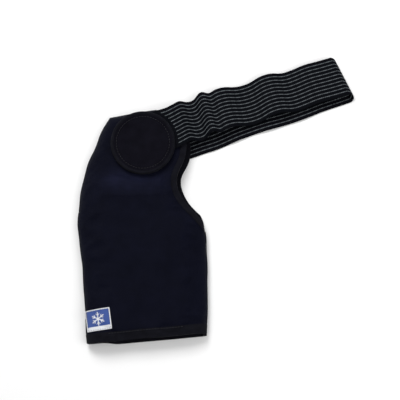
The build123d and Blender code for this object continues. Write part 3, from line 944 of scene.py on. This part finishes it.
low_edge = 0.5 - (points - np.array(FOLD_AXIS)) @ upper_side / STRAP_WIDE
at_split = smoothstep(SPLIT, SPLIT * 0.6, from_fold * (points[:, 2] < 2 * MM))
slant = FOLD_SLANT * np.clip(low_edge, 0, 1.1) * smoothstep(85 * MM, 12 * MM, from_fold) * at_split
set_points(upper, points + slant[:, None] * along)
rise = np.array((0, 0, 1.0)) - along * LEAN
rise /= rise @ rise
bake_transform(upper)

# neck of the strap, on each side of the tab's hinge
neck_back = np.linspace(reach_back, reach_back + 2 * NECK, NECK_STEPS)
neck = np.array(FOLD_AXIS) * (1, 1, 0) - neck_back[:, None] * along
neck += bend_in_plane(neck_back)[:, None] * upper_side
level = PEEL_AXIS.z - STRAP_THICK / 2
neck[:, 2] = level + (heights[-1] - level) * smoothstep(NECK, 0, neck_back - reach_back)
neck_sides = np.repeat([upper_side], len(neck), 0)
neck_piece, used = ribbon("strap_neck", neck, neck_sides, normals(neck, neck_sides), used)
end_back = np.arange(neck_back[-1], neck_back[-1] + TONGUE, ALONG_STEP)
end = neck[-1] - (end_back - end_back[0])[:, None] * along
end_sides = np.repeat([upper_side], len(end), 0)
end_ups = np.repeat([(0, 0, 1.0)], len(end), 0)
tab_end, _ = ribbon("tab_strap_end", end, end_sides, end_ups, used)
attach(tab_end, "closure_tab")
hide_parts("tab_tongue")
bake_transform(neck_piece)

# ---------------------------------------------------------------- closure tab
TAB_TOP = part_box("tab_pad")[1].z
TAB_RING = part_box("tab_pad")[1].x - TAB.x


def tab_point(radius, turn, z):
    return (TAB.x + radius * math.cos(turn), TAB.y + radius * math.sin(turn), z)


def revolved(name, profile, steps):
    """A closed ring or disc from a profile of (radius, height) points; both ends may meet the axis."""
    points, faces = [], []
    for i in range(steps):
        turn = 2 * math.pi * i / steps
        points += [tab_point(r, turn, z) for r, z in profile]
    count = len(profile)
    for i in range(steps):
        for j in range(count):
            k = (j + 1) % count
            if profile[j][0] < 1e-6 and profile[k][0] < 1e-6:
                continue
            a, b = i * count, (i + 1) % steps * count
            faces.append((a + j, b + j, b + k, a + k))
    piece = mesh_piece(name, points, faces)
    shape = bmesh.new()
    shape.from_mesh(piece.data)
    bmesh.ops.remove_doubles(shape, verts=shape.verts, dist=1e-7)
    bmesh.ops.recalc_face_normals(shape, faces=shape.faces)
    shape.to_mesh(piece.data)
    shape.free()
    smooth_shaded(piece.data)
    return piece


FACE_PRESSURE, FACE_CAP = 3.0, 1.2 * MM
FACE_RINGS, FACE_STEPS = 46, 150
FACE_CROWN = 0.5 * MM
GROOVE_IN, GROOVE_HALF, GROOVE_DEEP = 8.5 * MM, 2.2 * MM, 0.75 * MM  # where the stitches pull the face in
EDGE_HALF, EDGE_SIDES, EDGE_STEPS = 2.6 * MM, 28, 260
SQUARE = 0.75  # how square the rolled edge's section is; 1 is round


def make_tab():
    inner = TAB_RING + 0.4 * MM
    low, high = tab_low.z, tab_high.z
    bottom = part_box("tab_tongue")[1].z
    pad = []
    for i in range(FACE_RINGS):
        r = inner * i / (FACE_RINGS - 1)
        pad.append((r, TAB_TOP - FACE_CROWN + FACE_CROWN * smoothstep(inner, inner * 0.6, r)))
    pad += [(inner, bottom + 0.6 * MM), (inner * 0.5, bottom), (0, bottom)]
    face = revolved("tab_face", pad, FACE_STEPS)
    rim = np.hypot(*(get_points(face)[:, :2] - (TAB.x, TAB.y)).T) > inner * 0.985
    under = get_points(face)[:, 2] < TAB_TOP - 1.5 * MM
    puffed(face, FACE_PRESSURE, FACE_CAP, pins=rim | under)
    points = get_points(face)
    x, y, z = points.T
    top = smoothstep(TAB_TOP - 2 * MM, TAB_TOP - 0.8 * MM, z)
    from_centre = np.hypot(x - TAB.x, y - TAB.y)
    groove = smoothstep(GROOVE_HALF, 0, np.abs(from_centre - (TAB_R - GROOVE_IN)))
    points[:, 2] += top * (0.25 * MM * waves(x, y, 40 * MM, 41) - GROOVE_DEEP * groove)
    set_points(face, points)
    dressed(face, TAB_CLOTH)
    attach(face, "closure_tab")
    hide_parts("tab_pad")

    rolled = []
    middle, half = (low + high) / 2, (high - low) / 2
    for i in range(EDGE_SIDES):
        turn = 2 * math.pi * i / EDGE_SIDES
        c, s = math.cos(turn), math.sin(turn)
        rolled.append((
            TAB_R - EDGE_HALF + EDGE_HALF * math.copysign(abs(c) ** SQUARE, c),
            middle + half * math.copysign(abs(s) ** SQUARE, s),
        ))
    ring = revolved("tab_edge", rolled, EDGE_STEPS)
    points = get_points(ring)
    angle = np.arctan2(points[:, 1] - TAB.y, points[:, 0] - TAB.x)
    pucker = 0.16 * MM * np.sin(angle * 71 + 1.5 * np.sin(angle * 3)) + 0.14 * MM * np.sin(angle * 23 + 1)
    top = smoothstep(middle, high, points[:, 2])
    points[:, 2] += pucker * top
    set_points(ring, points)
    dressed(ring, TAPE)
    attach(ring, "closure_tab")
    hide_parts("tab_binding")

    piece = sewn("tab_stitching", stitches_at("tab_stitches", -0.15 * MM))
    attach(piece, "closure_tab")
    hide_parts("tab_stitches")

    hook = softened("tab_hooks", "hook_disc", 0.5 * MM, 2)
    points = get_points(hook)
    under = points[:, 2] < tab_low.z + 0.6 * MM
    points[:, 2] -= under * 0.12 * MM * waves(points[:, 0], points[:, 1], 3 * MM, 51)
    set_points(hook, points)
    dressed(hook, HOOKS)
    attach(hook, "closure_tab")
    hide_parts("hook_disc")


make_tab()

# ---------------------------------------------------------------- gel pack
def film_look():
    made, nodes, links, shader = material("film")
    place, _ = object_axes(nodes, links)
    haze = node(nodes, "ShaderNodeTexNoise", Scale=120.0, Detail=4.0)
    links.new(place, haze.inputs["Vector"])
    tint = mixed(nodes, links, haze.outputs[0], (0.55, 0.68, 0.80), (0.78, 0.86, 0.92))
    links.new(tint, shader.inputs["Base Color"])
    shader.inputs["Roughness"].default_value = 0.18
    shader.inputs["Transmission Weight"].default_value = 0.75
    shader.inputs["IOR"].default_value = 1.45
    bump(nodes, links, shader, haze.outputs[0], 0.0006)
    return made


def gel_look():
    made, nodes, links, shader = material("gel")
    place, _ = object_axes(nodes, links)
    cloudy = node(nodes, "ShaderNodeTexNoise", Scale=70.0, Detail=5.0)
    links.new(place, cloudy.inputs["Vector"])
    tint = mixed(nodes, links, cloudy.outputs[0], (0.02, 0.16, 0.42), (0.06, 0.34, 0.66))
    links.new(tint, shader.inputs["Base Color"])
    shader.inputs["Roughness"].default_value = 0.25
    shader.inputs["Subsurface Weight"].default_value = 0.15
    bump(nodes, links, shader, cloudy.outputs[0], 0.0008)
    return made


PACK_EDGE = 0.55  # the pack's thickness at its edge, as a share of its middle
pouch = softened("gel_pouch", "pack_pouch", 0.8 * MM, 3)
gel = softened("gel", "gel_fill", 1.2 * MM, 3)
gel_low, gel_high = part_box("gel_fill")
gel_middle = (gel_low + gel_high) / 2
for piece, look, slot_name, node_name in (
    (pouch, film_look(), "pack_film", "pack_pouch"),
    (gel, gel_look(), "gel", "gel_fill"),
):
    points = get_points(piece)
    reach = np.maximum(
        np.abs(points[:, 0] - gel_middle.x) / (gel_high.x - gel_low.x),
        np.abs(points[:, 1] - gel_middle.y) / (gel_high.y - gel_low.y),
    )
    crown = PACK_EDGE + (1 - PACK_EDGE) * smoothstep(0.5, 0.15, reach)
    points[:, 2] = gel_middle.z + (points[:, 2] - gel_middle.z) * crown
    set_points(piece, points)
    dressed(piece, look)
    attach(piece, "gel_pack")
    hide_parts(node_name)

# ---------------------------------------------------------------- floor, light and camera
FLOOR = 60.0  # side of the floor, wide enough to hold the horizon back in low views
CAMERA_TARGET, CAMERA_DISTANCE = (0.0818, 0.1216, 0), 1.667
CAMERA_ELEVATION = 79  # degrees above the floor
LENS = 100  # mm


def make_floor():
    mesh = bpy.data.meshes.new("floor")
    half = FLOOR / 2
    corners = [(-half, -half, 0), (half, -half, 0), (half, half, 0), (-half, half, 0)]
    mesh.from_pydata(corners, [], [(0, 1, 2, 3)])
    floor = link("floor", mesh)
    floor.location.z = -0.2 * MM
    made, _, _, shader = material("floor")
    shader.inputs["Base Color"].default_value = (0.9, 0.9, 0.9, 1)
    shader.inputs["Roughness"].default_value = 0.9
    mesh.materials.append(made)


def make_light(name, place, size, power, target):
    lamp = bpy.data.lights.new(name, "AREA")
    lamp.size = size
    lamp.energy = power
    light = link(name, lamp)
    light.location = place
    light.rotation_mode = "QUATERNION"
    light.rotation_quaternion = (Vector(target) - Vector(place)).to_track_quat("-Z", "Y")


def make_world(strength):
    world = bpy.data.worlds.new("studio")
    world.use_nodes = True
    world.node_tree.nodes["Background"].inputs[0].default_value = (1, 1, 1, 1)
    world.node_tree.nodes["Background"].inputs[1].default_value = strength
    bpy.context.scene.world = world


def make_camera(target, distance, elevation, lens):
    camera = link("camera", bpy.data.cameras.new("camera"))
    camera.data.lens = lens
    camera.data.sensor_width = 36
    angle = math.radians(elevation)
    back = Vector((0, -math.cos(angle), math.sin(angle)))
    camera.location = Vector(target) + back * distance
    camera.rotation_mode = "QUATERNION"
    camera.rotation_quaternion = back.to_track_quat("Z", "Y")
    bpy.context.scene.camera = camera


make_floor()
make_world(0.5)
middle = (cad_box[0] + cad_box[1]) / 2
make_light("key", (middle.x - 0.5, middle.y + 0.9, 1.3), 0.8, 19, middle)
make_light("fill", (middle.x + 0.9, middle.y - 0.4, 1.2), 1.2, 9, middle)
make_camera(CAMERA_TARGET, CAMERA_DISTANCE, CAMERA_ELEVATION, LENS)
bpy.context.scene.view_settings.view_transform = "Standard"
